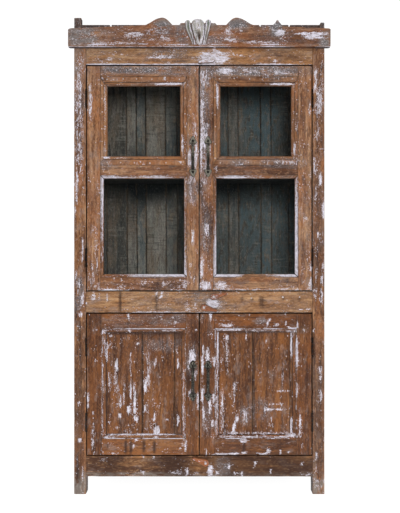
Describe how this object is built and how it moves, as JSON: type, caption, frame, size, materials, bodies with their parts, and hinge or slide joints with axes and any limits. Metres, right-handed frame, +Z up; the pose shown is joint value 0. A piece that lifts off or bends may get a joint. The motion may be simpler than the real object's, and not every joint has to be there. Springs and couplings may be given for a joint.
{
  "type": "glass display cabinet",
  "caption": "Weathered wooden display cabinet: hinged glazed doors over panelled doors, scalloped cornice with a carved shell, iron pulls and wooden turn buttons.",
  "frame": {"origin": "on the floor, under the middle of the outer box", "axes": "+Z up, -Y towards the front with the doors, +X to the right as seen from the front"},
  "size_m": [1, 0.4364, 1.83],
  "materials": {
    "post_wood": "worn oiled teak with chipped pale paint",
    "rail_wood": "worn teak with chipped pale paint",
    "side_wood": "worn oiled teak boards",
    "inside_wood": "dark dusty boards",
    "top_wood": "rough weathered boards",
    "cornice_wood": "worn teak with chipped pale paint",
    "limed_carving": "carved wood with worn pale limewash",
    "upper_door_wood": "worn teak with chipped pale paint",
    "moulding_wood": "worn teak moulding, nailed",
    "lower_door_wood": "dark worn teak with chipped pale paint",
    "lower_panel_wood": "dark worn teak boards",
    "button_wood": "worn teak",
    "painted_button": "chipped pale paint on teak",
    "window_glass": "clear old window glass",
    "handle_iron": "dark patinated iron",
    "hinge_iron": "rusted iron",
    "screw_iron": "rusted iron"
  },
  "bodies": {
    "carcass": {"left_front_post": "post_wood", "right_front_post": "post_wood", "left_back_post": "post_wood", "right_back_post": "post_wood", "bottom_rail": "rail_wood", "middle_rail": "rail_wood", "frieze_rail": "rail_wood", "left_side_panel": "side_wood", "right_side_panel": "side_wood", "back_boards": "inside_wood", "floor_board": "inside_wood", "middle_shelf": "inside_wood", "upper_shelf": "inside_wood", "top_boards": "top_wood", "cornice_front": "cornice_wood", "carved_shell": "limed_carving", "left_upper_door_top_hinge_post_leaf": "hinge_iron", "left_upper_door_bottom_hinge_post_leaf": "hinge_iron", "left_lower_door_top_hinge_post_leaf": "hinge_iron", "left_lower_door_bottom_hinge_post_leaf": "hinge_iron", "right_upper_door_top_hinge_post_leaf": "hinge_iron", "right_upper_door_bottom_hinge_post_leaf": "hinge_iron", "right_lower_door_top_hinge_post_leaf": "hinge_iron", "right_lower_door_bottom_hinge_post_leaf": "hinge_iron", "frieze_button_screw": "screw_iron", "middle_up_button_screw": "screw_iron", "middle_down_button_screw": "screw_iron", "bottom_button_screw": "screw_iron"},
    "left_upper_door": {"left_upper_door_frame": "upper_door_wood", "left_upper_door_moulding": "moulding_wood", "left_upper_door_top_glass": "window_glass", "left_upper_door_bottom_glass": "window_glass", "left_upper_door_handle": "handle_iron", "left_upper_door_top_hinge_door_leaf": "hinge_iron", "left_upper_door_bottom_hinge_door_leaf": "hinge_iron"},
    "left_lower_door": {"left_lower_door_frame": "lower_door_wood", "left_lower_door_meeting_board": "lower_panel_wood", "left_lower_door_hinge_board": "lower_panel_wood", "left_lower_door_handle": "handle_iron", "left_lower_door_top_hinge_door_leaf": "hinge_iron", "left_lower_door_bottom_hinge_door_leaf": "hinge_iron"},
    "right_upper_door": {"right_upper_door_frame": "upper_door_wood", "right_upper_door_moulding": "moulding_wood", "right_upper_door_top_glass": "window_glass", "right_upper_door_bottom_glass": "window_glass", "right_upper_door_handle": "handle_iron", "right_upper_door_top_hinge_door_leaf": "hinge_iron", "right_upper_door_bottom_hinge_door_leaf": "hinge_iron"},
    "right_lower_door": {"right_lower_door_frame": "lower_door_wood", "right_lower_door_meeting_board": "lower_panel_wood", "right_lower_door_hinge_board": "lower_panel_wood", "right_lower_door_handle": "handle_iron", "right_lower_door_top_hinge_door_leaf": "hinge_iron", "right_lower_door_bottom_hinge_door_leaf": "hinge_iron"},
    "frieze_button": {"frieze_turn_button": "painted_button"},
    "middle_up_button": {"middle_up_turn_button": "button_wood"},
    "middle_down_button": {"middle_down_turn_button": "button_wood"},
    "bottom_button": {"bottom_turn_button": "button_wood"}
  },
  "joints": [
    {"name": "left_upper_door_hinge", "type": "hinge", "parent": "carcass", "child": "left_upper_door", "pos_m": [-0.43335, -0.18615, 1.2145], "axis": [0, 0, -1], "range_deg": [0, 175]},
    {"name": "right_upper_door_hinge", "type": "hinge", "parent": "carcass", "child": "right_upper_door", "pos_m": [0.43335, -0.18615, 1.2145], "axis": [0, 0, 1], "range_deg": [0, 175]},
    {"name": "left_lower_door_hinge", "type": "hinge", "parent": "carcass", "child": "left_lower_door", "pos_m": [-0.43335, -0.18615, 0.4225], "axis": [0, 0, -1], "range_deg": [0, 175]},
    {"name": "right_lower_door_hinge", "type": "hinge", "parent": "carcass", "child": "right_lower_door", "pos_m": [0.43335, -0.18615, 0.4225], "axis": [0, 0, 1], "range_deg": [0, 175]},
    {"name": "frieze_button_turn", "type": "hinge", "parent": "carcass", "child": "frieze_button", "pos_m": [0.047, -0.18185, 1.6685], "axis": [0, 1, 0], "range_deg": [-58, 14]},
    {"name": "middle_up_button_turn", "type": "hinge", "parent": "carcass", "child": "middle_up_button", "pos_m": [0.055, -0.18185, 0.7595], "axis": [0, 1, 0], "range_deg": [-77, 14]},
    {"name": "middle_down_button_turn", "type": "hinge", "parent": "carcass", "child": "middle_down_button", "pos_m": [0.018, -0.18185, 0.7177], "axis": [0, -1, 0], "range_deg": [-61.5, 14]},
    {"name": "bottom_button_turn", "type": "hinge", "parent": "carcass", "child": "bottom_button", "pos_m": [0.024, -0.18185, 0.122], "axis": [0, -1, 0], "range_deg": [-37.4, 20]}
  ]
}
